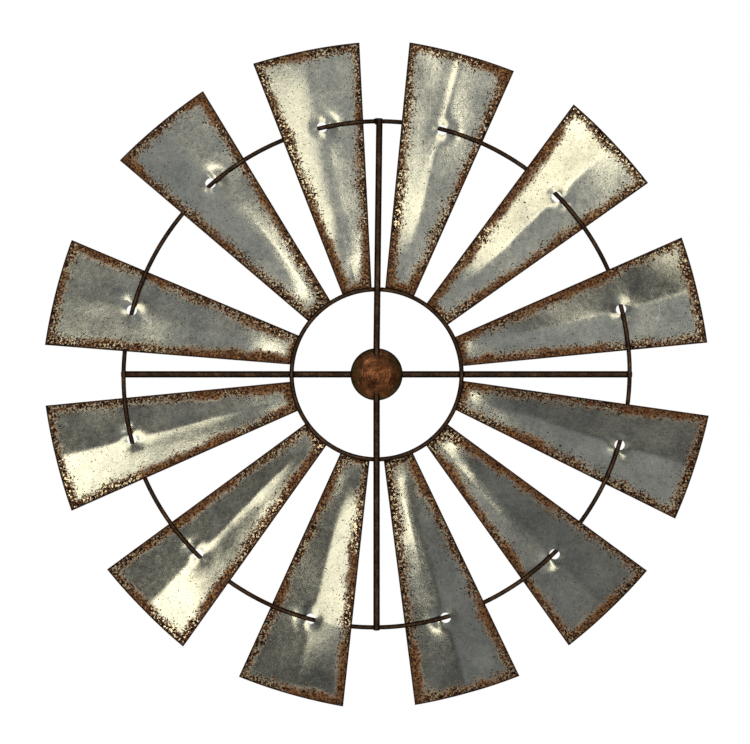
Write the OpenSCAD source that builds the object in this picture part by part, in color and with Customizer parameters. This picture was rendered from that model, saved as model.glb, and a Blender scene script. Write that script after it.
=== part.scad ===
// Windmill wall decoration: a wheel of twelve creased sheet-metal blades on two welded wire
// rings and a cross of two round bars, with a hammered domed cap over the crossing and a
// keyhole hanger behind it. Nothing turns: every crossing is welded.
//
// Frame: the wall is the plane y = 0 and the wheel stands in front of it, towards -Y.
// The origin is on the hanger's flat back face, on the axis of the hub. +Z is up.

/* [Wheel] */
// Diameter across the middles of the blades' outer edges
wheel_d = 710; // [600:5:900]
// Distance from the wall to the plane of the rings
standoff = 18; // [15:0.5:40]

/* [Rings and bars] */
// Diameter of the outer ring, on the centreline of its wire
outer_ring_d = 542; // [430:2:580]
// Diameter of the inner ring, on the centreline of its wire
inner_ring_d = 182; // [150:2:220]
// Thickness of the wire of both rings
wire_d = 4.8; // [3:0.1:5.8]
// Thickness of the two crossing bars
bar_d = 7; // [4:0.5:8]
// How far the vertical bar's top end was bent to the right
top_lean = 3; // [0:0.5:6]
// How far the bars run past the centreline of the outer ring
bar_overrun = 3; // [2:0.5:12]

/* [Blades] */
// Number of blades
blade_count = 12; // [6:1:12]
// Width of a blade at its inner end
blade_inner_w = 32; // [24:1:38]
// Width of a blade at its outer corners, seen from the front
blade_outer_w = 117; // [80:1:140]
// Radius of the curved outer edge
outer_edge_r = 557; // [360:1:1200]
// Thickness of the sheet
sheet_t = 0.6; // [0.4:0.1:1]
// Slope of a blade's anticlockwise half, past the twisted part
front_pitch = 16; // [12:0.5:22]
// Slope of a blade's clockwise half, past the twisted part
rear_pitch = 8; // [6:0.5:12]
// Length of the twisted part at a blade's inner end
twist_l = 90; // [70:5:150]
// How much wider the hole in a blade is than the outer ring's wire, which passes through it
hole_play = 6.2; // [5.7:0.1:9]
// How much steeper the sheet is bent right at the hole, as a slope
dent_slope = 0.5; // [0.45:0.01:0.6]
// Reach of the dents beside the hole
dent_reach = 11; // [10:0.5:16]

/* [Hub cap] */
// Diameter of the domed cap
cap_d = 56; // [48:1:68]
// Height of the dome
cap_h = 12; // [10:0.5:16]
// Thickness of the cap's metal
cap_t = 0.8; // [0.5:0.1:1.5]
// Play round the vertical bar where it enters the cap
notch_play = 0.15; // [0.1:0.05:0.5]

/* [Wall hanger] */
// Thickness of the hanger's strip
strip_t = 1.5; // [1:0.1:2]
// Width of the wall plate
plate_w = 34; // [30:1:36]
// Height of the legs and feet
leg_h = 16; // [10:1:16]
// Length of each foot along the horizontal bar
foot_l = 7; // [4:0.5:8]
// Reach of the wall plate above the hub's axis
plate_top = 20; // [18:0.5:21]
// Reach of the wall plate below the hub's axis
plate_bottom = 10; // [8:0.5:12]
// Diameter of the round entry of the keyhole
entry_d = 9; // [8:0.5:10]
// Height of the entry's centre above the hub's axis
entry_z = 7.5; // [7:0.25:8]
// Width of the keyhole's slot
slot_w = 4.5; // [3.5:0.25:5]
// Height of the slot's upper end, on its centre, above the hub's axis
slot_top_z = 15; // [14:0.5:16]

/* [Hidden] */
$fn = 48;
overlap = 0.5;              // how far solids of one piece run into each other
cut_past = 5;               // how far a cutting solid runs past what it cuts
seat_gap = 0.12;            // air between a blade's inner end and the wire, filled by the weld
bar_sides = 24;             // flats round a bar

wheel_r = wheel_d / 2;
outer_ring_r = outer_ring_d / 2;
inner_ring_r = inner_ring_d / 2;
wire_r = wire_d / 2;
bar_r = bar_d / 2;
cap_r = cap_d / 2;

ring_y = -standoff;                // the rings lie in one plane
// The bars lie against the rings, one in front and one behind, and are pulled together
// to touch in the ring plane behind the cap.
bar_off_ring = wire_r + bar_r;
bar_off_hub = bar_r;
bar_half_l = outer_ring_r + bar_overrun;

blade_in_r = inner_ring_r - 0.5;   // inner end of a blade, hidden behind the wire
inner_half = blade_inner_w / 2;
outer_half = blade_outer_w / 2;
hole_d = wire_d + hole_play;
rows_in = 10;                      // quads along a blade, from its inner end to the hole
rows_out = 7;                      // quads along a blade, from the hole outwards
half_cols = 5;                     // quads across half a blade
rows = rows_in + rows_out;
cols = 2 * half_cols;
crowding = 1.8;                    // how strongly the quads crowd together at the hole

// Each blade was welded by hand: degrees off its even place, and lean about its inner end.
blade_place = [0.5, -0.1, -0.7, -1.7, -2.8, -1.6, -0.1, -0.2, 0.4, -0.3, -0.1, 0.8];
blade_lean = [-0.9, -0.5, 0.9, -1.3, -1.8, 2.9, -0.2, 0.6, -0.7, 1.7, -0.3, -3.0];

steel_grey = [0.50, 0.54, 0.54];
rod_brown = [0.25, 0.17, 0.13];
cap_brown = [0.38, 0.24, 0.17];

function blade_name(k) = str("blade_", k < 10 ? "0" : "", k);

// ---- Blades -------------------------------------------------------------------------
// A blade lies along +X: r runs outwards, u across it (anticlockwise from the front), and
// its height h is measured forwards, towards -Y, from the ring plane.

// Distance from the inner end to the hole, on a blade that leans
function hole_reach(lean) =
    -blade_in_r * cos(lean)
    + sqrt(pow(blade_in_r * cos(lean), 2) - pow(blade_in_r, 2) + pow(outer_ring_r, 2));

// 0 at the inner end, 1 past the twisted part
function twist_share(r) = sin(90 * min(1, (r - blade_in_r) / twist_l));

function half_width(r) =
    inner_half + (outer_half - inner_half) * (r - blade_in_r) / (wheel_r - blade_in_r);

// Drop of the curved outer edge at a distance u from the blade's centreline
function edge_drop(u) = outer_edge_r - sqrt(pow(outer_edge_r, 2) - pow(u, 2));

// Forward height of the middle of the sheet
function sheet_height(r, u, hole_r) =
    -(wire_r + sheet_t / 2 + seat_gap) * (1 - twist_share(r))
    + u * tan((u > 0 ? front_pitch : rear_pitch) * twist_share(r))
    + dent_slope * u * exp(-(pow(r - hole_r, 2) + pow(u, 2)) / (2 * pow(dent_reach, 2)));

// How far a grid line lies from the hole, as a share of the way to the blade's edge
function crowded(step, steps) = sign(step) * pow(abs(step) / steps, crowding);

// A point of the sheet: i and j count rows and columns from the hole, side is +1 in front
function sheet_point(i, j, side, hole_r) =
    let (
        r_flat = i < 0
            ? hole_r + crowded(i, rows_in) * (hole_r - blade_in_r)
            : hole_r + crowded(i, rows_out) * (wheel_r - hole_r),
        w = crowded(j, half_cols),
        end_share = (r_flat - blade_in_r) / (wheel_r - blade_in_r),
        r = r_flat - pow(end_share, 4) * edge_drop(w * half_width(r_flat)),
        u = w * half_width(r)
    )
    [r, -(sheet_height(r, u, hole_r) + side * sheet_t / 2), u];

// Index of a point of the front grid, or of the back grid
function front(i, j) = i * (cols + 1) + j;
function back(i, j) = front(i, j) + (rows + 1) * (cols + 1);

module twisted_sheet(hole_r) {
    points = [
        for (side = [1, -1], i = [-rows_in : rows_out], j = [-half_cols : half_cols])
            sheet_point(i, j, side, hole_r)
    ];
    front_faces = [
        for (i = [0 : rows - 1], j = [0 : cols - 1], half = [0, 1])
            half == 0
                ? [front(i, j), front(i, j + 1), front(i + 1, j + 1)]
                : [front(i, j), front(i + 1, j + 1), front(i + 1, j)]
    ];
    back_faces = [
        for (i = [0 : rows - 1], j = [0 : cols - 1], half = [0, 1])
            half == 0
                ? [back(i, j), back(i + 1, j + 1), back(i, j + 1)]
                : [back(i, j), back(i + 1, j), back(i + 1, j + 1)]
    ];
    end_faces = [
        for (j = [0 : cols - 1], end = [0, 1])
            end == 0
                ? [front(0, j + 1), front(0, j), back(0, j), back(0, j + 1)]
                : [front(rows, j), front(rows, j + 1), back(rows, j + 1), back(rows, j)]
    ];
    side_faces = [
        for (i = [0 : rows - 1], edge = [0, 1])
            edge == 0
                ? [front(i, 0), front(i + 1, 0), back(i + 1, 0), back(i, 0)]
                : [front(i + 1, cols), front(i, cols), back(i, cols), back(i + 1, cols)]
    ];
    polyhedron(points, concat(front_faces, back_faces, end_faces, side_faces));
}

module blade(k) {
    even_place = 360 / blade_count * (k - 0.5);
    lean = blade_lean[k - 1];
    hole_r = blade_in_r + hole_reach(lean);
    color(steel_grey)
        translate([0, ring_y, 0])
            rotate([0, -(even_place + blade_place[k - 1]), 0])
                translate([blade_in_r, 0, 0])
                    rotate([0, -lean, 0])
                        translate([-blade_in_r, 0, 0])
                            difference() {
                                twisted_sheet(hole_r);
                                translate([hole_r, 0, 0])
                                    rotate([90, 0, 0])
                                        cylinder(h = 2 * cut_past, d = hole_d, center = true);
                            }
}

// ---- Rings and bars -----------------------------------------------------------------
module wire_ring(ring_r) {
    color(rod_brown)
        translate([0, ring_y, 0])
            rotate([90, 0, 0])
                rotate_extrude($fn = 180)
                    translate([ring_r, 0])
                        circle(r = wire_r);
}

module outer_ring() {
    wire_ring(outer_ring_r);
}

module inner_ring() {
    wire_ring(inner_ring_r);
}

// A bar along X, on the +Y side of the ring plane: flat behind the cap, eased out to the
// inner ring, and straight on past the outer ring. Its -X end leans towards +Z.
module eased_bar(lean = 0) {
    lean_at_ring = lean * (inner_ring_r - cap_r) / (bar_half_l - cap_r);
    path = [
        [-bar_half_l, bar_off_ring, lean],
        [-inner_ring_r, bar_off_ring, lean_at_ring],
        [-cap_r, bar_off_hub, 0],
        [cap_r, bar_off_hub, 0],
        [inner_ring_r, bar_off_ring, 0],
        [bar_half_l, bar_off_ring, 0]
    ];
    last = len(path) - 1;
    points = [
        for (centre = path, s = [0 : bar_sides - 1])
            let (turn = 360 * s / bar_sides)
                [centre[0], centre[1] + bar_r * cos(turn), centre[2] + bar_r * sin(turn)]
    ];
    side_faces = [
        for (i = [0 : last - 1], s = [0 : bar_sides - 1])
            let (next = (s + 1) % bar_sides)
                [
                    (i + 1) * bar_sides + s, (i + 1) * bar_sides + next,
                    i * bar_sides + next, i * bar_sides + s
                ]
    ];
    first_end = [for (s = [0 : bar_sides - 1]) s];
    last_end = [for (s = [bar_sides - 1 : -1 : 0]) last * bar_sides + s];
    polyhedron(points, concat([first_end], side_faces, [last_end]));
}

// The vertical bar crosses in front of both rings.
module vertical_bar() {
    color(rod_brown)
        translate([0, ring_y, 0])
            rotate([0, 90, 0])
                mirror([0, 1, 0])
                    eased_bar(top_lean);
}

// The horizontal bar crosses behind both rings.
module horizontal_bar() {
    color(rod_brown)
        translate([0, ring_y, 0])
            eased_bar();
}

// ---- Hub cap ------------------------------------------------------------------------
// The dome's rim lies in the ring plane, on the horizontal bar, and is notched for the
// vertical bar.
module hub_cap() {
    dome_r = (pow(cap_r, 2) + pow(cap_h, 2)) / (2 * cap_h);
    notch_r = bar_r + notch_play;
    color(cap_brown)
        translate([0, ring_y, 0])
            difference() {
                translate([0, dome_r - cap_h, 0])
                    difference() {
                        sphere(r = dome_r, $fn = 96);
                        sphere(r = dome_r - cap_t, $fn = 96);
                    }
                translate([-2 * dome_r, 0, -2 * dome_r])
                    cube([4 * dome_r, 4 * dome_r, 4 * dome_r]);
                translate([0, -bar_off_hub, 0])
                    cylinder(h = cap_d + 2 * cut_past, r = notch_r, center = true);
                translate([-notch_r, -bar_off_hub, -cap_r - cut_past])
                    cube([2 * notch_r, bar_d, cap_d + 2 * cut_past]);
            }
}

// ---- Wall hanger --------------------------------------------------------------------
// A strip bent to a hat: its flat wall plate carries the keyhole, and its feet are welded
// to the back of the horizontal bar, all of it hidden behind the cap.
module hanger_bracket() {
    feet_y = ring_y + bar_off_hub + bar_r;
    leg_x = plate_w / 2 - strip_t;
    color(rod_brown)
        difference() {
            union() {
                translate([-plate_w / 2, -strip_t, -plate_bottom])
                    cube([plate_w, strip_t, plate_bottom + plate_top]);
                for (flip = [0, 1])
                    mirror([flip, 0, 0]) {
                        translate([leg_x, feet_y, -leg_h / 2])
                            cube([strip_t, -feet_y - strip_t + overlap, leg_h]);
                        translate([leg_x, feet_y, -leg_h / 2])
                            cube([strip_t + foot_l, strip_t, leg_h]);
                    }
            }
            translate([0, 0, entry_z])
                rotate([90, 0, 0])
                    cylinder(h = 2 * cut_past, d = entry_d, center = true);
            translate([0, 0, slot_top_z])
                rotate([90, 0, 0])
                    cylinder(h = 2 * cut_past, d = slot_w, center = true);
            translate([-slot_w / 2, -cut_past, entry_z])
                cube([slot_w, 2 * cut_past, slot_top_z - entry_z]);
        }
}

for (k = [1 : blade_count])
    blade(k);
outer_ring();
inner_ring();
vertical_bar();
horizontal_bar();
hub_cap();
hanger_bracket();
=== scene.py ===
"""Looks of the windmill wall decoration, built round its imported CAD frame.

Lengths are in millimetres in the shape code and turned into metres where meshes are made.
The wheel faces -Y, +Z is up, and angles run anticlockwise from +X as seen from the front.
"""
import math

import bpy
import numpy as np
from mathutils import Matrix, Vector


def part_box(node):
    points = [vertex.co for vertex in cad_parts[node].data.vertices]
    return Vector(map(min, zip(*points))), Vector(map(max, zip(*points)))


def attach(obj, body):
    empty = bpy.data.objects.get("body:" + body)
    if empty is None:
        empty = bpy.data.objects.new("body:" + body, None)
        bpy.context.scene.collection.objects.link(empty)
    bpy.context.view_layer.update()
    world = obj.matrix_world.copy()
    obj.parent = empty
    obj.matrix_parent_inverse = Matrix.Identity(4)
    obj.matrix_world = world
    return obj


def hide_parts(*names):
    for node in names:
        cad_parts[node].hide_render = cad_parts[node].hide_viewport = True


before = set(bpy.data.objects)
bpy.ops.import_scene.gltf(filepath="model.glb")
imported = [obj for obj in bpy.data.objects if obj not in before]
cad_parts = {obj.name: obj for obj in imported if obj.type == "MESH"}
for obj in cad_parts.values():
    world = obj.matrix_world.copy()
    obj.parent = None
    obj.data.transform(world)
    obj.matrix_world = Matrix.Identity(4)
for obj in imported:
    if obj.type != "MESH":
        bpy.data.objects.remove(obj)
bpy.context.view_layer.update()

MM = 0.001


def cad_box_mm(node):
    low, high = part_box(node)
    return np.array(low) / MM, np.array(high) / MM


def bell(squared, reach):
    """1 at no distance, falling to 0 within a few reaches; squared is the distance's square."""
    return np.exp(-squared / (2 * reach**2))


# ---- Sizes, read from the frame -----------------------------------------------------
ring_low, ring_high = cad_box_mm("outer_ring")
RING_Y = (ring_low[1] + ring_high[1]) / 2
WIRE_R = (ring_high[1] - ring_low[1]) / 2
OUTER_RING_R = (ring_high[0] - ring_low[0]) / 2 - WIRE_R
inner_low, inner_high = cad_box_mm("inner_ring")
INNER_RING_R = (inner_high[0] - inner_low[0]) / 2 - WIRE_R
bar_low, bar_high = cad_box_mm("vertical_bar")
BAR_R = (RING_Y - WIRE_R - bar_low[1]) / 2
BAR_LEAN = bar_high[0] - BAR_R      # the upright bar's top end is bent to the right
BAR_HALF_L = (bar_high[2] - bar_low[2]) / 2
cap_low, cap_high = cad_box_mm("hub_cap")
CAP_R = (cap_high[0] - cap_low[0]) / 2
CAP_H = cap_high[1] - cap_low[1]

# ---- Blades: the same rule as in the CAD model --------------------------------------
WHEEL_R = 355.0
SHEET_T = 0.6
SEAT_GAP = 0.12                     # between a blade's inner end and the inner ring
BLADE_IN_R = INNER_RING_R - 0.5
INNER_HALF, OUTER_HALF = 16.0, 58.5     # half of the width at the two ends
OUTER_EDGE_R = 557.0                # the outer end is an arc of this radius
FRONT_PITCH, REAR_PITCH = 16.0, 8.0     # usual slopes of the two halves, in degrees
TWIST_L = 90.0                      # the slopes build up over this length
HOLE_R = 5.5
CREASE_SOFTNESS = 1.2               # half-width of the crease's rounding at the hole
CREASE_SPREAD = 0.025               # how fast that rounding widens away from the hole

# Slope and reach of the dent round the hole, in the front half and in the rear half.
FRONT_DENT, REAR_DENT = (0.30, 5.0), (0.38, 7.0)
FOLD_REACH = 7.0                    # how far from the crease a fold is felt
BEND_AT, BEND_SOFTNESS = 0.25, 0.1  # where the rear half bends, in half-widths, and how softly
BEND_END, BEND_GROWTH = 15.0, 60.0  # it ends this far before the hole and grows over this length

# Length and depth of the shallow waves in the sheet, two of each kind on every blade.
WAVES = ((150, 0.28), (95, 0.15), (60, 0.07), (38, 0.03))
WAVES_EACH = 2
WAVES_GROWTH = 40.0                 # they grow over this length from the inner end
CALM, CALM_REACH = 0.8, 14.0        # and are this share weaker near the outer ring

# place and lean turn the blade, in degrees, as in the CAD model. front and rear are how
# many degrees its two halves differ from their usual slopes near the inner end, at the
# hole and at the outer edge. fold is how many degrees steeper the front half is right
# beside the crease, at the same three places. curl is how many degrees steeper the front
# half gets from the crease to its edge, and bend how many degrees steeper the rear half
# gets past its bend, near the inner end. warp seeds the waves.
STRAIGHT = dict(fold=(0, 0, 0), curl=0, bend=0)
BLADES = [
    dict(STRAIGHT, place=0.5, lean=-0.9, front=(-1, 0, 1), rear=(0, 0, 0), warp=11),
    dict(STRAIGHT, place=-0.1, lean=-0.5, front=(-1, 0, 0), rear=(-1, 0, 2), warp=12),
    dict(STRAIGHT, place=-0.7, lean=0.9, front=(-1, -4.5, -4), rear=(-1, -2, -4),
         fold=(0, 2, 7), warp=13),
    dict(STRAIGHT, place=-1.7, lean=-1.3, front=(-2, -1, -1), rear=(-1, -1, -1),
         curl=8, warp=14),
    dict(STRAIGHT, place=-2.8, lean=-1.8, front=(-3, -4, -4), rear=(-1, -1.5, -2),
         bend=-5, warp=15),
    dict(STRAIGHT, place=-1.6, lean=2.9, front=(-4, -5, -6), rear=(0, 0, 0), warp=23),
    dict(STRAIGHT, place=-0.1, lean=-0.2, front=(-6, -2.5, 0), rear=(-1, -1, -1),
         fold=(3, 2, 0), warp=17),
    dict(STRAIGHT, place=-0.2, lean=0.6, front=(-3, -4.5, 0), rear=(-1, -1, -1),
         fold=(3, 3, 0), warp=18),
    dict(STRAIGHT, place=0.4, lean=-0.7, front=(0, -1, -7), rear=(0, 0, 0), warp=19),
    dict(STRAIGHT, place=-0.3, lean=1.7, front=(0, 0, 0), rear=(-1, -1, -1),
         bend=-5, warp=20),
    dict(STRAIGHT, place=-0.1, lean=-0.3, front=(0, 0, 0), rear=(0, 0, 0),
         bend=-6, warp=21),
    dict(STRAIGHT, place=0.8, lean=-3.0, front=(1, 1, 0), rear=(0, 0, 0),
         bend=-2, warp=22),
]
FIRST_PLACE, PLACE_STEP = 15, 30    # degrees, before each blade's own place

ROWS_TO_HOLE, ROWS_PAST_HOLE = 80, 37
HALF_COLS = 20
# Half-widths, in grid cells, of the hole and of the square of cells bent round it.
HOLE_CELLS, BLOCK_CELLS = 3, 8


def half_width(r):
    return INNER_HALF + (OUTER_HALF - INNER_HALF) * (r - BLADE_IN_R) / (WHEEL_R - BLADE_IN_R)


def edge_drop(u):
    """How far the outer end's arc has dropped at u from its middle."""
    return OUTER_EDGE_R - np.sqrt(OUTER_EDGE_R**2 - u**2)


def hole_distance(lean):
    """Where along a blade that leans by this angle the outer ring crosses it."""
    reach = BLADE_IN_R * math.cos(lean)
    return BLADE_IN_R - reach + math.sqrt(reach**2 - BLADE_IN_R**2 + OUTER_RING_R**2)


def twist_share(r):
    """How much of its slope the blade has at r, from 0 at the inner end to 1."""
    return np.sin(np.pi / 2 * np.clip((r - BLADE_IN_R) / TWIST_L, 0, 1))


def unevenness(r, u, seed):
    """A few long, shallow waves in the sheet, different on every blade."""
    rng = np.random.default_rng(seed)
    height = np.zeros_like(r)
    for length, depth in WAVES:
        for _ in range(WAVES_EACH):
            turn, phase = rng.uniform(0, 2 * math.pi, 2)
            travel = r * np.cos(turn) + u * np.sin(turn)
            height += depth * np.sin(2 * np.pi * travel / length + phase)
    settle = np.clip((r - BLADE_IN_R) / WAVES_GROWTH, 0, 1)
    return height * settle * (1 - CALM * bell((r - OUTER_RING_R) ** 2, CALM_REACH))


def sheet_height(r, u, hole_r, blade):
    """How far the sheet's middle surface stands in front of the rings' plane."""
    share = twist_share(r)
    stations = (BLADE_IN_R + TWIST_L / 2, hole_r, WHEEL_R)
    front = np.tan(np.radians(FRONT_PITCH + np.interp(r, stations, blade["front"])) * share)
    rear = np.tan(np.radians(REAR_PITCH + np.interp(r, stations, blade["rear"])) * share)
    seat = -(WIRE_R + SHEET_T / 2 + SEAT_GAP) * (1 - share)
    slope = (front + rear) / 2
    soft = CREASE_SOFTNESS + CREASE_SPREAD * np.abs(r - hole_r)
    crease = (front - rear) / 2 * (np.sqrt(u**2 + soft**2) - soft)

    away = (r - hole_r) ** 2 + u**2
    (front_slope, front_reach), (rear_slope, rear_reach) = FRONT_DENT, REAR_DENT
    dent = u * np.where(u > 0, front_slope * bell(away, front_reach),
                        rear_slope * bell(away, rear_reach))

    across = u / half_width(r)
    arch = across**2 / 2 - np.clip(across, 0, 1) / 2
    curl = np.radians(blade["curl"]) * arch * half_width(r) * (u > 0)
    past_bend = np.clip(-across - BEND_AT, 0, 1)
    drop = np.sqrt(past_bend**2 + BEND_SOFTNESS**2) - BEND_SOFTNESS
    near_hub = np.clip((hole_r - BEND_END - r) / BEND_GROWTH, 0, 1) * share
    bend = np.radians(blade["bend"]) * drop * half_width(r) * near_hub
    fold = np.radians(np.interp(r, stations, blade["fold"])) * u * bell(u**2, FOLD_REACH)
    fold = fold * (u > 0) * share
    waves = unevenness(r, u, blade["warp"])
    return seat + slope * u + crease + dent + curl - bend + fold + waves


def flat_point(row, col, hole_r):
    """(r, u) of a place on the blade's grid; row and col need not be whole."""
    before = BLADE_IN_R + (hole_r - BLADE_IN_R) * row / ROWS_TO_HOLE
    after = hole_r + (WHEEL_R - hole_r) * (row - ROWS_TO_HOLE) / ROWS_PAST_HOLE
    r_flat = np.where(row <= ROWS_TO_HOLE, before, after)
    share = col / HALF_COLS
    along = (r_flat - BLADE_IN_R) / (WHEEL_R - BLADE_IN_R)
    r = r_flat - along**4 * edge_drop(share * half_width(r_flat))
    return r, share * half_width(r)


def edge_distance(r, u):
    """Distance to the nearest edge of the blade's outline."""
    side_slope = (OUTER_HALF - INNER_HALF) / (WHEEL_R - BLADE_IN_R)
    to_side = (half_width(r) - np.abs(u)) / math.hypot(1, side_slope)
    to_end = WHEEL_R - edge_drop(u) - r
    return np.maximum(np.minimum(np.minimum(to_side, to_end), r - BLADE_IN_R), 0)


def place_blade(points, even_place, blade):
    """Turns (r, u, h) rows into the wheel's frame."""
    turn, lean = even_place + math.radians(blade["place"]), math.radians(blade["lean"])
    r, u, h = points.T
    out = BLADE_IN_R + (r - BLADE_IN_R) * math.cos(lean) - u * math.sin(lean)
    across = (r - BLADE_IN_R) * math.sin(lean) + u * math.cos(lean)
    x = out * math.cos(turn) - across * math.sin(turn)
    z = out * math.sin(turn) + across * math.cos(turn)
    return np.column_stack([x, RING_Y - h, z])


def new_object(name, verts_mm, faces):
    mesh = bpy.data.meshes.new(name)
    mesh.from_pydata((np.asarray(verts_mm) * MM).tolist(), [], faces)
    mesh.polygons.foreach_set("use_smooth", [True] * len(mesh.polygons))
    mesh.update()
    obj = bpy.data.objects.new(name, mesh)
    bpy.context.collection.objects.link(obj)
    return obj


def float_attribute(obj, name, values):
    attribute = obj.data.attributes.new(name, "FLOAT", "POINT")
    attribute.data.foreach_set("value", np.asarray(values, np.float32))


def mark_sharp(obj, pairs):
    """Sharp shading along the edges between these pairs of vertices."""
    wanted = {tuple(sorted(p)) for p in pairs}
    sharp = [tuple(sorted(e.vertices)) in wanted for e in obj.data.edges]
    attribute = obj.data.attributes.get("sharp_edge")
    if attribute is None:
        attribute = obj.data.attributes.new("sharp_edge", "BOOLEAN", "EDGE")
    attribute.data.foreach_set("value", sharp)


def blade_grid(hole_r):
    """Places (r, u) of the blade's grid, bent into rings round the hole, and which of
    them are sheet."""
    rows, cols = ROWS_TO_HOLE + ROWS_PAST_HOLE, 2 * HALF_COLS
    row, col = np.meshgrid(np.arange(rows + 1.0), np.arange(cols + 1.0) - HALF_COLS,
                           indexing="ij")
    r, u = flat_point(row, col, hole_r)
    from_hole = row - ROWS_TO_HOLE
    ring = np.maximum(np.abs(from_hole), np.abs(col))
    grow = BLOCK_CELLS / np.maximum(ring, 1)
    block_r, block_u = flat_point(ROWS_TO_HOLE + from_hole * grow, col * grow, hole_r)
    away = np.hypot(block_r - hole_r, block_u) + 1e-9
    rim_r = hole_r + HOLE_R * (block_r - hole_r) / away
    rim_u = HOLE_R * block_u / away
    share = (ring - HOLE_CELLS) / (BLOCK_CELLS - HOLE_CELLS)
    bent = (ring < BLOCK_CELLS) & (ring >= HOLE_CELLS)
    r = np.where(bent, rim_r + (block_r - rim_r) * share, r)
    u = np.where(bent, rim_u + (block_u - rim_u) * share, u)
    return r, u, ring >= HOLE_CELLS


def blade_faces(kept):
    """Faces of the front, the back and the edges between them, and the pairs of vertices
    along those edges. The back's vertices follow the front's."""
    count = int(kept.sum())
    index = -np.ones(kept.shape, int)
    index[kept] = np.arange(count)
    rows, cols = kept.shape[0] - 1, kept.shape[1] - 1

    def hollow(i, j):
        off_row, off_col = abs(i + 0.5 - ROWS_TO_HOLE), abs(j + 0.5 - HALF_COLS)
        return max(off_row, off_col) < HOLE_CELLS

    faces, border = [], []
    solid = {(i, j) for i in range(rows) for j in range(cols) if not hollow(i, j)}
    for i, j in sorted(solid):
        a, b = int(index[i, j]), int(index[i, j + 1])
        c, d = int(index[i + 1, j + 1]), int(index[i + 1, j])
        faces.append((d, c, b, a))
        faces.append((a + count, b + count, c + count, d + count))
        for near, (p, q) in (((i - 1, j), (b, a)), ((i + 1, j), (d, c)),
                             ((i, j - 1), (a, d)), ((i, j + 1), (c, b))):
            if near not in solid:
                faces.append((q, p, p + count, q + count))
                border += [(p, q), (p + count, q + count)]
    return faces, border


def make_blade(number, blade):
    hole_r = hole_distance(math.radians(blade["lean"]))
    r, u, kept = blade_grid(hole_r)
    r, u = r[kept], u[kept]
    h = sheet_height(r, u, hole_r, blade)
    front = np.column_stack([r, u, h + SHEET_T / 2])
    back = np.column_stack([r, u, h - SHEET_T / 2])
    even_place = math.radians(FIRST_PLACE + PLACE_STEP * (number - 1))
    verts = place_blade(np.vstack([front, back]), even_place, blade)
    faces, border = blade_faces(kept)
    obj = new_object(f"blade_sheet_{number:02d}", verts, faces)
    mark_sharp(obj, border)
    float_attribute(obj, "edge_mm", np.tile(edge_distance(r, u), 2))
    return obj


# ---- Materials ----------------------------------------------------------------------
def join(tree, value, socket):
    """Sets a socket to a number or colour, or links another node's output to it."""
    if isinstance(value, (int, float, tuple)):
        socket.default_value = value
    else:
        tree.links.new(value, socket)


def math_node(tree, operation, a, b=0.0, clamp=False):
    node = tree.nodes.new("ShaderNodeMath")
    node.operation, node.use_clamp = operation, clamp
    join(tree, a, node.inputs[0])
    join(tree, b, node.inputs[1])
    return node.outputs[0]


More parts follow.
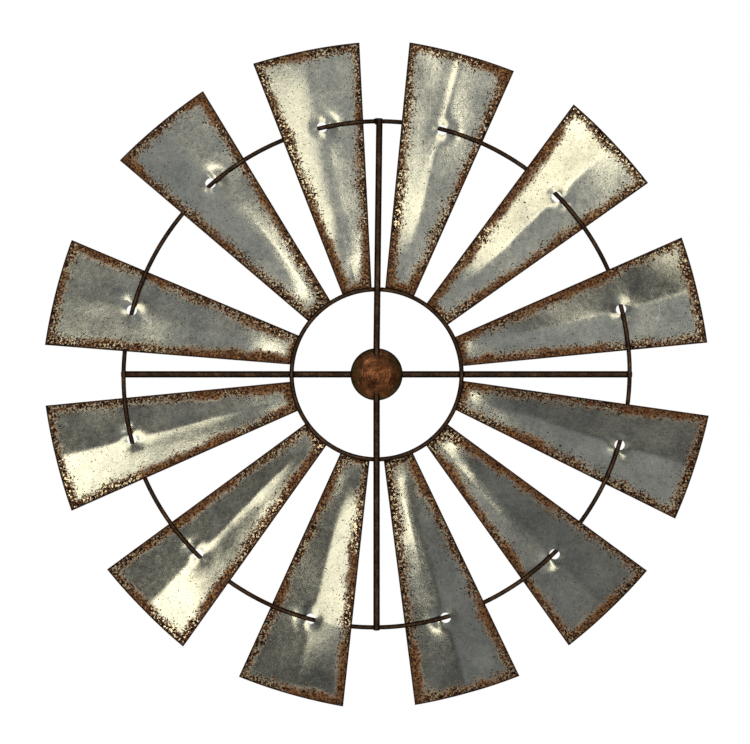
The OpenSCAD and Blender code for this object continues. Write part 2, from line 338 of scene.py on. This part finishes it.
class Shader:
    """A material's node tree, with short calls for the nodes used here."""

    def __init__(self, name):
        self.material = bpy.data.materials.new(name)
        self.material.use_nodes = True
        self.tree = self.material.node_tree
        self.surface = self.tree.nodes["Principled BSDF"]
        self.coords = self.node("ShaderNodeTexCoord").outputs["Object"]

    def node(self, kind):
        return self.tree.nodes.new(kind)

    def join(self, value, socket):
        join(self.tree, value, socket)

    def attribute(self, name):
        node = self.node("ShaderNodeAttribute")
        node.attribute_name = name
        return node.outputs["Fac"]

    def math(self, operation, a, b=0.0, clamp=False):
        return math_node(self.tree, operation, a, b, clamp)

    def add(self, a, b):
        return self.math("ADD", a, b)

    def times(self, a, b):
        return self.math("MULTIPLY", a, b)

    def swing(self, noise, span):
        """Noise made to swing about zero, span times as strong."""
        return self.times(self.math("SUBTRACT", noise, 0.5), span)

    def weighted(self, *parts):
        """The sum of (value, weight) parts."""
        total = self.times(*parts[0])
        for part in parts[1:]:
            total = self.add(total, self.times(*part))
        return total

    def noise(self, size_mm, detail=2.0, roughness=0.5, distortion=0.0, shift=0.0):
        """Noise whose features are about size_mm across; shift moves it to another place."""
        mapping = self.node("ShaderNodeMapping")
        mapping.inputs["Location"].default_value = (shift, 0.37 * shift, -0.61 * shift)
        self.join(self.coords, mapping.inputs["Vector"])
        node = self.node("ShaderNodeTexNoise")
        node.inputs["Scale"].default_value = 1 / (size_mm * MM)
        node.inputs["Detail"].default_value = detail
        node.inputs["Roughness"].default_value = roughness
        node.inputs["Distortion"].default_value = distortion
        self.join(mapping.outputs[0], node.inputs["Vector"])
        return node.outputs["Fac"]

    def crystals(self, size_mm):
        """A random number for each crystal; they are about size_mm across."""
        cells, split = self.node("ShaderNodeTexVoronoi"), self.node("ShaderNodeSeparateColor")
        cells.inputs["Scale"].default_value = 1 / (size_mm * MM)
        self.join(self.coords, cells.inputs["Vector"])
        self.join(cells.outputs["Color"], split.inputs[0])
        return split.outputs[0]

    def step(self, value, low, high, to_low=0.0, to_high=1.0, smooth=True):
        """to_low where value is low or less, to_high where it is high or more."""
        node = self.node("ShaderNodeMapRange")
        node.interpolation_type = "SMOOTHSTEP" if smooth else "LINEAR"
        for name, part in (("Value", value), ("From Min", low), ("From Max", high),
                           ("To Min", to_low), ("To Max", to_high)):
            self.join(part, node.inputs[name])
        return node.outputs["Result"]

    def fade(self, value, low, high):
        return self.step(value, low, high, 1.0, 0.0)

    def between(self, share, at_none, at_all):
        return self.step(share, 0, 1, at_none, at_all)

    def mix(self, share, a, b):
        node = self.node("ShaderNodeMix")
        node.data_type = "RGBA"
        self.join(share, node.inputs["Factor"])
        self.join(a, node.inputs[6])    # the node's colour sockets, which share their
        self.join(b, node.inputs[7])    # names with those for numbers
        return node.outputs[2]

    def ramp(self, value, *stops):
        node = self.node("ShaderNodeValToRGB")
        elements = node.color_ramp.elements
        while len(elements) < len(stops):
            elements.new(0.5)
        for element, (place, colour) in zip(elements, stops):
            element.position, element.color = place, (*colour, 1)
        self.join(value, node.inputs["Fac"])
        return node.outputs["Color"]

    def bump(self, height, distance_mm, strength, under=None):
        node = self.node("ShaderNodeBump")
        node.inputs["Distance"].default_value = distance_mm * MM
        node.inputs["Strength"].default_value = strength
        self.join(height, node.inputs["Height"])
        if under is not None:
            self.join(under, node.inputs["Normal"])
        return node.outputs["Normal"]

    def finish(self, colour, roughness, metallic, specular=0.5, normal=None):
        self.join(colour, self.surface.inputs["Base Color"])
        self.join(roughness, self.surface.inputs["Roughness"])
        self.join(metallic, self.surface.inputs["Metallic"])
        self.surface.inputs["Specular IOR Level"].default_value = specular
        if normal is not None:
            self.join(normal, self.surface.inputs["Normal"])
        return self.material


def bare_zinc(s, cloud, mottle, grit):
    """Soft spangle, cloudy tarnish, fine light specks and a few light scratches."""
    speck_colour, scratch_colour = (0.80, 0.80, 0.76, 1), (0.90, 0.90, 0.84, 1)
    tone = s.weighted((s.crystals(9), 0.10), (cloud, 0.55), (mottle, 0.45))
    tone = s.add(tone, s.swing(grit, 0.45))
    zinc = s.ramp(tone, (0.30, (0.33, 0.34, 0.32)), (0.52, (0.49, 0.50, 0.455)),
                  (0.75, (0.66, 0.66, 0.59)))
    specks = s.step(s.noise(1.6, detail=2, shift=7.7), 0.64, 0.70)
    zinc = s.mix(s.times(specks, 0.35), zinc, speck_colour)

    # A scratch follows the noise's middle value, where a second noise lets it show.
    middle = s.math("SUBTRACT", s.noise(34, detail=0, distortion=0.6, shift=21.0), 0.5)
    line = s.fade(s.math("ABSOLUTE", middle), 0.0025, 0.006)
    scratched = s.times(line, s.step(s.noise(48, detail=1, shift=17.0), 0.60, 0.66))
    return s.mix(s.times(scratched, 0.6), zinc, scratch_colour)


def galvanised_material():
    """Zinc with a stained, rusty border that breaks into speckles further in."""
    s = Shader("galvanised_rusty_edges")
    edge_rust_and_rim_shade_colour, soot = (0.012, 0.006, 0.004, 1), (0.010, 0.005, 0.003, 1)
    old_rust = (0.075, 0.021, 0.008, 1)
    pale_fleck, orange_fleck = (0.85, 0.76, 0.56, 1), (0.62, 0.34, 0.13, 1)

    edge = s.attribute("edge_mm")
    cloud = s.noise(38, detail=4, roughness=0.6, shift=3.1)
    mottle = s.noise(5, detail=4, roughness=0.65, shift=1.3)
    grit = s.noise(2.2, detail=2, roughness=0.6, shift=6.6)
    zinc = bare_zinc(s, cloud, mottle, grit)

    # How deep in the border a place is. In soft zones the border is evener and browner.
    wander = s.noise(14, detail=3, shift=5.2)
    reach = s.noise(55, detail=2, shift=8.4)
    depth = s.add(s.add(edge, s.swing(wander, 12.0)), s.swing(reach, 8.0))
    soft_zone = s.step(s.noise(75, detail=1, shift=12.7), 0.46, 0.58)

    # Where the stain, the brown speckle, the black dots and the dark outline are.
    stain = s.fade(depth, s.between(soft_zone, 4.0, 6.0), s.between(soft_zone, 12.0, 14.0))
    stain = s.times(stain, 0.9)
    speckle = s.math("SUBTRACT", s.noise(2.1, detail=1, roughness=0.6, shift=2.2),
                     s.step(depth, 5.0, 18.0, 0.47, 0.70, smooth=False))
    speckle = s.step(speckle, 0.0, 0.03)
    fewest_dots = s.between(soft_zone, 0.51, 0.61)
    dots = s.math("SUBTRACT", s.noise(2.0, detail=1, roughness=0.6, shift=9.9),
                  s.step(depth, 4.0, 16.0, fewest_dots, 0.73, smooth=False))
    dots = s.step(dots, 0.0, 0.02)
    outline = s.fade(edge, 0.5, 2.0)

    # Flecks of bare metal in the border, and its oldest rust right at the edge.
    bare = s.step(s.noise(2.3, detail=1, roughness=0.6, shift=8.8), 0.575, 0.595)
    fleck = s.times(bare, s.step(edge, 0.8, 3.0, 0.0, s.between(soft_zone, 0.95, 0.55)))
    oldest = s.step(edge, 2.0, s.between(soft_zone, 6.0, 13.0),
                    s.between(soft_zone, 0.45, 0.70), 0.0)

    tan = s.ramp(s.noise(2.4, detail=2, roughness=0.6, shift=4.4),
                 (0.38, (0.06, 0.017, 0.006)), (0.49, (0.25, 0.080, 0.021)),
                 (0.61, (0.56, 0.28, 0.09)))
    rust = s.ramp(s.noise(2.0, detail=2, roughness=0.6, shift=3.3),
                  (0.38, (0.016, 0.005, 0.003)), (0.50, (0.09, 0.024, 0.009)),
                  (0.62, (0.34, 0.115, 0.034)))
    colour = s.mix(stain, zinc, s.mix(oldest, tan, old_rust))
    colour = s.mix(speckle, colour, rust)
    colour = s.mix(dots, colour, soot)
    fleck_colour = s.mix(soft_zone, pale_fleck, orange_fleck)
    colour = s.mix(s.times(fleck, s.fade(depth, 6.0, 14.0)), colour, fleck_colour)
    colour = s.mix(s.times(outline, 0.8), colour, edge_rust_and_rim_shade_colour)

    covered = s.math("MAXIMUM", stain, s.math("MAXIMUM", speckle, dots))
    covered = s.times(covered, s.math("SUBTRACT", 1.0, fleck))
    covered = s.math("MAXIMUM", covered, outline)
    metallic = s.math("SUBTRACT", 1.0, covered, clamp=True)
    roughness = s.add(0.055, s.weighted((mottle, 0.14), (cloud, 0.10)))
    roughness = s.math("ADD", roughness, s.times(covered, 0.50), clamp=True)
    normal = s.bump(s.noise(7, detail=3, shift=6.1), 0.25, 0.3)
    normal = s.bump(grit, 0.10, 0.35, under=normal)
    normal = s.bump(s.add(speckle, dots), 0.12, 0.8, under=normal)
    return s.finish(colour, roughness, metallic, specular=0.12, normal=normal)


def rod_material():
    """Brown rust, with near-black painted shade along the rod's two sides, where it faces
    neither front nor back.
    """
    s = Shader("rusty_rod")
    painted_side_shade_colour = (0.006, 0.003, 0.002, 1)
    patches = s.noise(16, detail=3, roughness=0.6)
    fine = s.noise(2.6, detail=3, roughness=0.65, shift=2.0)
    brown = s.ramp(s.weighted((patches, 0.6), (fine, 0.4)),
                   (0.38, (0.04, 0.020, 0.011)), (0.50, (0.085, 0.043, 0.023)),
                   (0.60, (0.16, 0.085, 0.045)), (0.70, (0.27, 0.15, 0.08)))
    # Painted shade: near-black where the rod's surface turns sideways, away from the front and
    # the back, for the dark edges that light gives a round rod. The weld beads carry no such
    # attribute, so they take this painted shade all over.
    painted_side_shade = s.fade(s.add(s.attribute("facing_front_back"), s.swing(fine, 0.3)), 0.80, 0.97)
    colour = s.mix(s.times(painted_side_shade, 0.96), brown, painted_side_shade_colour)
    roughness = s.add(0.42, s.times(fine, 0.3))
    return s.finish(colour, roughness, 0.0, specular=0.1, normal=s.bump(fine, 0.15, 0.7))


def cap_material():
    """Hammered copper brown, olive towards the rim, with dark stains and a near-black painted
    shade along the rim.
    """
    s = Shader("hammered_cap")
    stain_colour, edge_rust_and_rim_shade_colour = (0.03, 0.014, 0.006, 1), (0.006, 0.003, 0.002, 1)
    rim = s.attribute("rim_mm")
    patches = s.noise(9, detail=3, roughness=0.6, shift=1.0)
    fine = s.noise(2.0, detail=3, roughness=0.7, shift=2.0)
    copper = s.ramp(s.weighted((patches, 0.7), (fine, 0.3)),
                    (0.36, (0.075, 0.031, 0.012)), (0.48, (0.19, 0.066, 0.025)),
                    (0.58, (0.33, 0.122, 0.050)), (0.70, (0.49, 0.23, 0.12)))
    olive = s.ramp(fine, (0.40, (0.07, 0.046, 0.014)), (0.60, (0.21, 0.135, 0.040)))
    uneven_rim = s.add(rim, s.times(s.noise(12, detail=2, shift=6.0), 26.0))
    colour = s.mix(s.fade(uneven_rim, 14.0, 19.0), copper, olive)
    dark = s.step(s.noise(7, detail=3, roughness=0.65, shift=9.0), 0.56, 0.62)
    colour = s.mix(s.times(dark, 0.5), colour, stain_colour)
    # Painted shade: a near-black band along the dome's steep rim, where the light falls away
    # from it.
    outline = s.step(rim, 0.9, 2.2, 0.95, 0.0)
    colour = s.mix(outline, colour, edge_rust_and_rim_shade_colour)
    metallic = s.times(s.math("SUBTRACT", 1.0, outline), 0.7)
    roughness = s.add(0.16, s.times(fine, 0.25))
    return s.finish(colour, roughness, metallic, specular=0.3, normal=s.bump(fine, 0.06, 0.5))


def hanger_material():
    s = Shader("hanger_steel")
    patches = s.noise(9, detail=4, roughness=0.6, shift=4.0)
    fine = s.noise(1.5, detail=3, roughness=0.65, shift=5.0)
    colour = s.ramp(s.weighted((patches, 0.6), (fine, 0.4)), (0.36, (0.03, 0.018, 0.013)),
                    (0.55, (0.075, 0.04, 0.026)), (0.72, (0.15, 0.07, 0.04)))
    roughness = s.add(0.45, s.times(fine, 0.3))
    return s.finish(colour, roughness, 0.4, normal=s.bump(fine, 0.15, 0.6))


# ---- Rings, bars, cap and welds -----------------------------------------------------
TUBE_SIDES = 18
RING_OVAL = 1.3                     # how far the outer ring is out of round
END_ROUND = 0.8                     # rounding of the bars' ends

CAP_T = 0.8
CAP_RINGS, CAP_SPOKES = 84, 168
HAMMER_DENTS = 34
HAMMER_REACH, HAMMER_DEPTH = (2.4, 4.6), (0.10, 0.32)   # least and most
HAMMER_RIM = 3.0                    # no dents this close to the rim
RIPPLE_PITCH, RIPPLE_DEPTH = 2.8, 0.19

WELD_R = 3.2
WELD_RINGS, WELD_SPOKES = 7, 12


def tube(name, centres, radius, closed):
    """A round rod along centres (rows of x, y, z); closed joins its ends."""
    centres = np.asarray(centres, float)
    if closed:
        ahead, behind = np.roll(centres, -1, 0), np.roll(centres, 1, 0)
    else:
        ahead = np.vstack([centres[1:], centres[-1:]])
        behind = np.vstack([centres[:1], centres[:-1]])
    along = ahead - behind
    along /= np.linalg.norm(along, axis=1, keepdims=True)
    side = np.cross(along, (0, 1, 0))
    side /= np.linalg.norm(side, axis=1, keepdims=True)
    up = np.cross(side, along)
    turn = 2 * np.pi * np.arange(TUBE_SIDES) / TUBE_SIDES
    radii = np.broadcast_to(radius, (len(centres),))
    spread = (side[:, None, :] * np.cos(turn)[None, :, None]
              + up[:, None, :] * np.sin(turn)[None, :, None])
    verts = centres[:, None, :] + radii[:, None, None] * spread
    count = len(centres)
    faces = []
    for i in range(count if closed else count - 1):
        here, there = i * TUBE_SIDES, (i + 1) % count * TUBE_SIDES
        for j in range(TUBE_SIDES):
            n = (j + 1) % TUBE_SIDES
            faces.append((here + j, here + n, there + n, there + j))
    if not closed:
        faces.append(tuple(range(TUBE_SIDES - 1, -1, -1)))
        faces.append(tuple((count - 1) * TUBE_SIDES + j for j in range(TUBE_SIDES)))
    obj = new_object(name, verts.reshape(-1, 3), faces)
    # How squarely each point faces the front or the back, 0 at the rod's sides; the rod's
    # material paints shade where this is low.
    float_attribute(obj, "facing_front_back", np.tile(np.abs(np.sin(turn)), count))
    return obj


def make_ring(name, ring_r, steps, oval=0.0):
    """A wire ring, out of round by oval along its diagonals."""
    turn = 2 * np.pi * np.arange(steps) / steps
    r = ring_r + oval * np.cos(2 * turn - np.pi / 2)
    centres = np.column_stack([r * np.cos(turn), np.full(steps, RING_Y), r * np.sin(turn)])
    return tube(name, centres, WIRE_R, closed=True)


def make_bar(name, upright):
    """A bar eased from its side of the rings to their plane behind the cap."""
    straight = np.linspace(-BAR_HALF_L + END_ROUND, BAR_HALF_L - END_ROUND, 181)
    along = np.concatenate([[-BAR_HALF_L, -BAR_HALF_L + 0.3], straight,
                            [BAR_HALF_L - 0.3, BAR_HALF_L]])
    share = np.clip((np.abs(along) - CAP_R) / (INNER_RING_R - CAP_R), 0, 1)
    off = BAR_R + WIRE_R * share
    radius = np.full(len(along), BAR_R)
    radius[[0, -1]] = BAR_R - END_ROUND
    radius[[1, -2]] = BAR_R - 0.35
    if upright:
        aside = BAR_LEAN * np.clip((along - CAP_R) / (BAR_HALF_L - CAP_R), 0, 1)
        centres = np.column_stack([aside, RING_Y - off, along])
    else:
        centres = np.column_stack([along, RING_Y + off, 0 * along])
    return tube(name, centres, radius, closed=False)


def hammer_dents():
    """Rows of x, z, reach and depth."""
    rng = np.random.default_rng(5)
    dents = []
    while len(dents) < HAMMER_DENTS:
        x, z = rng.uniform(-CAP_R, CAP_R, 2)
        if math.hypot(x, z) < CAP_R - HAMMER_RIM:
            dents.append((x, z, rng.uniform(*HAMMER_REACH), rng.uniform(*HAMMER_DEPTH)))
    return dents


def cap_height(x, z):
    """How far the hammered dome stands in front of its rim."""
    rho = np.hypot(x, z)
    dome_r = (CAP_R**2 + CAP_H**2) / (2 * CAP_H)
    height = np.sqrt(np.maximum(dome_r**2 - rho**2, 0)) - (dome_r - CAP_H)
    settle = np.clip((CAP_R - rho) / HAMMER_RIM, 0, 1)
    for dent_x, dent_z, reach, depth in hammer_dents():
        height = height - settle * depth * bell((x - dent_x) ** 2 + (z - dent_z) ** 2, reach)

    # Slightly oval rings beside the middle, which fade outwards, inwards and by direction.
    from_middle = np.hypot(x + 0.8, (z - 0.5) * 0.8)
    window = np.clip((16 - from_middle) / 5, 0, 1) * np.clip((from_middle - 1.0) / 2, 0, 1)
    window = window * (0.65 + 0.35 * np.sin(2 * np.arctan2(z, x) + 2.2))
    ripple = 1 + np.cos(2 * np.pi * from_middle / RIPPLE_PITCH)
    return height - RIPPLE_DEPTH * window * ripple


def make_cap():
    """The dome, with hammer dents and fine rings pressed in near its middle."""
    radius = CAP_R * np.arange(1, CAP_RINGS + 1) / CAP_RINGS
    turn = 2 * np.pi * np.arange(CAP_SPOKES) / CAP_SPOKES
    flat = [(0.0, 0.0)] + [(a * math.cos(t), a * math.sin(t)) for a in radius for t in turn]
    x, z = np.array(flat).T
    h = cap_height(x, z)
    shrink = 1 - CAP_T / CAP_R
    outer = np.column_stack([x, RING_Y - h, z])
    inner = np.column_stack([x * shrink, RING_Y - np.maximum(h - CAP_T, 0), z * shrink])
    count = len(flat)
    faces = []
    for s in range(CAP_SPOKES):
        n = (s + 1) % CAP_SPOKES
        faces.append((0, 1 + s, 1 + n))
        faces.append((count, count + 1 + n, count + 1 + s))
        for k in range(CAP_RINGS - 1):
            a, b = 1 + k * CAP_SPOKES + s, 1 + k * CAP_SPOKES + n
            c, d = a + CAP_SPOKES, b + CAP_SPOKES
            faces.append((a, c, d, b))
            faces.append((count + a, count + b, count + d, count + c))
        a, b = 1 + (CAP_RINGS - 1) * CAP_SPOKES + s, 1 + (CAP_RINGS - 1) * CAP_SPOKES + n
        faces.append((a, count + a, count + b, b))
    obj = new_object("domed_cap", np.vstack([outer, inner]), faces)
    float_attribute(obj, "rim_mm", np.tile(CAP_R - np.hypot(x, z), 2))
    return obj


def make_welds(spots):
    """Small lumpy beads, all one mesh; spots are rows of x, y and z."""
    rng = np.random.default_rng(9)
    verts, faces = [], []
    for x, y, z in spots:
        base = len(verts)
        stretch = rng.uniform(0.85, 1.2, 3)
        for i in range(WELD_RINGS + 1):
            tilt = math.pi * i / WELD_RINGS
            for j in range(WELD_SPOKES):
                turn = 2 * math.pi * j / WELD_SPOKES
                out = np.array([math.sin(tilt) * math.cos(turn), math.cos(tilt),
                                math.sin(tilt) * math.sin(turn)])
                lump = (1 + 0.10 * math.sin(3 * turn + x) * math.sin(tilt)
                        + 0.06 * math.sin(5 * turn + z))
                verts.append(np.array([x, y, z]) + WELD_R * lump * out * stretch)
        for i in range(WELD_RINGS):
            here = base + i * WELD_SPOKES
            there = here + WELD_SPOKES
            for j in range(WELD_SPOKES):
                n = (j + 1) % WELD_SPOKES
                faces.append((here + j, here + n, there + n, there + j))
    return new_object("weld_beads", verts, faces)


def on_root(obj, material, slot, *nodes):
    obj.data.materials.clear()
    obj.data.materials.append(material)
    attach(obj, "root")
    if nodes:
        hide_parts(*nodes)


zinc = galvanised_material()
rod = rod_material()
for number, blade in enumerate(BLADES, start=1):
    on_root(make_blade(number, blade), zinc, "galvanised_sheet", f"blade_{number:02d}")
on_root(make_ring("outer_wire_ring", OUTER_RING_R, 480, oval=RING_OVAL),
        rod, "rusty_rod", "outer_ring")
on_root(make_ring("inner_wire_ring", INNER_RING_R, 240), rod, "rusty_rod", "inner_ring")
on_root(make_bar("upright_bar", upright=True), rod, "rusty_rod", "vertical_bar")
on_root(make_bar("level_bar", upright=False), rod, "rusty_rod", "horizontal_bar")
on_root(make_cap(), cap_material(), "hammered_cap", "hub_cap")

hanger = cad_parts["hanger_bracket"]
hanger.data.materials.clear()
hanger.data.materials.append(hanger_material())

# The level bar is welded behind both rings and the upright bar in front of them.
WELD_OFF = WIRE_R * 0.9
spots = []
for ring_r in (INNER_RING_R, OUTER_RING_R):
    for sign in (-1, 1):
        spots.append((sign * ring_r, RING_Y + WELD_OFF, 0))
        spots.append((0, RING_Y - WELD_OFF, sign * ring_r))
on_root(make_welds(spots), rod, "rusty_rod")


# ---- Floor, light and camera (metres) -----------------------------------------------
def make_floor():
    half, z = 1.5, -1.1
    mesh = bpy.data.meshes.new("floor")
    corners = [(-half, -half, z), (half, -half, z), (half, half, z), (-half, half, z)]
    mesh.from_pydata(corners, [], [(0, 1, 2, 3)])
    floor = bpy.data.objects.new("floor", mesh)
    bpy.context.collection.objects.link(floor)
    s = Shader("pale_floor")
    colour = s.ramp(s.noise(400, detail=2), (0.3, (0.78, 0.78, 0.77)), (0.7, (0.84, 0.84, 0.83)))
    mesh.materials.append(s.finish(colour, 0.8, 0.0))


LIGHT_DISTANCE = 3.0
WARM = (1.0, 0.92, 0.70)
# Kind, degrees off axis, azimuths, size and radiance of the soft lights.
LIGHTS = (("box", 32, (-38, -11, 20, 113, 141, 169), (0.86, 0.75), 1.8),
          ("strip", 9, (47, 212), (0.45, 0.28), 4.2))


def softbox(name, off_axis, azimuth, size, radiance, back):
    """A soft light off_axis degrees from straight ahead of the wheel's front, or of its
    back; azimuth is anticlockwise from the right. It lies along the circle it stands on."""
    tilt, turn = math.radians(off_axis), math.radians(azimuth)
    facing = 1 if back else -1
    place = LIGHT_DISTANCE * Vector((math.sin(tilt) * math.cos(turn), facing * math.cos(tilt),
                                     math.sin(tilt) * math.sin(turn)))
    light = bpy.data.lights.new(name, "AREA")
    light.shape = "RECTANGLE"
    light.size, light.size_y = size
    light.energy = radiance * math.pi * size[0] * size[1]
    light.color = WARM
    obj = bpy.data.objects.new(name, light)
    obj.location = place
    back_ray = place.normalized()
    across = Vector((math.cos(turn), 0, math.sin(turn))).cross(Vector((0, 1, 0)))
    across = (across - across.dot(back_ray) * back_ray).normalized()
    up = back_ray.cross(across)
    obj.rotation_mode = "QUATERNION"
    obj.rotation_quaternion = Matrix((across, up, back_ray)).transposed().to_quaternion()
    obj.visible_camera = False
    bpy.context.collection.objects.link(obj)


def room_level(tree):
    """How bright the room is in each direction. It is lit in front of the wheel and behind
    it and dark beside it. Straight ahead it is brighter low on the right than high on the
    left."""
    def add(a, b):
        return math_node(tree, "ADD", a, b)

    def times(a, b, clamp=False):
        return math_node(tree, "MULTIPLY", a, b, clamp)

    def past(start, growth):
        """0 up to start, then growing to 1, with the direction's share of depth."""
        return times(math_node(tree, "SUBTRACT", depth, start), growth, clamp=True)

    direction = tree.nodes.new("ShaderNodeSeparateXYZ")
    join(tree, tree.nodes.new("ShaderNodeTexCoord").outputs["Generated"], direction.inputs[0])
    x, y, z = direction.outputs
    depth = math_node(tree, "ABSOLUTE", y)
    centre = times(add(add(x, times(z, -0.57)), 0.04), past(0.86, 12.0))
    outer = add(times(z, 0.30), times(x, -0.15))
    level = add(add(outer, 0.22), centre)
    least, most, unlit = 0.07, 0.37, 0.02
    level = math_node(tree, "MINIMUM", math_node(tree, "MAXIMUM", level, least), most)
    return add(times(level, past(0.1, 2.5)), unlit)


def make_world():
    """A room that lights the wheel and is mirrored in it, but looks white to the camera."""
    world = bpy.data.worlds.new("studio")
    world.use_nodes = True
    tree = world.node_tree
    tree.nodes.clear()
    kinds = ("OutputWorld", "Background", "Background", "LightPath", "MixShader")
    out, seen, fill, path, mixer = [tree.nodes.new("ShaderNode" + kind) for kind in kinds]
    join(tree, (1, 1, 1, 1), seen.inputs["Color"])
    join(tree, (0.98, 1.0, 1.0, 1), fill.inputs["Color"])
    join(tree, room_level(tree), fill.inputs["Strength"])
    join(tree, path.outputs["Is Camera Ray"], mixer.inputs[0])
    join(tree, fill.outputs[0], mixer.inputs[1])
    join(tree, seen.outputs[0], mixer.inputs[2])
    join(tree, mixer.outputs[0], out.inputs[0])
    bpy.context.scene.world = world


def make_camera():
    distance, frame_width = 5.0, 0.8032
    aside, above = -0.0017, 0.0025
    data = bpy.data.cameras.new("camera")
    data.lens = data.sensor_width * distance / frame_width
    camera = bpy.data.objects.new("camera", data)
    camera.location = (aside, RING_Y * MM - distance, above)
    camera.rotation_euler = (math.pi / 2, 0, 0)
    bpy.context.collection.objects.link(camera)
    bpy.context.scene.camera = camera


make_floor()
make_world()
for face in ("front", "back"):
    for kind, off_axis, azimuths, size, radiance in LIGHTS:
        for number, azimuth in enumerate(azimuths):
            softbox(f"{face}_{kind}_{number}", off_axis, azimuth, size, radiance,
                    back=face == "back")
make_camera()
bpy.context.scene.view_settings.view_transform = "Standard"
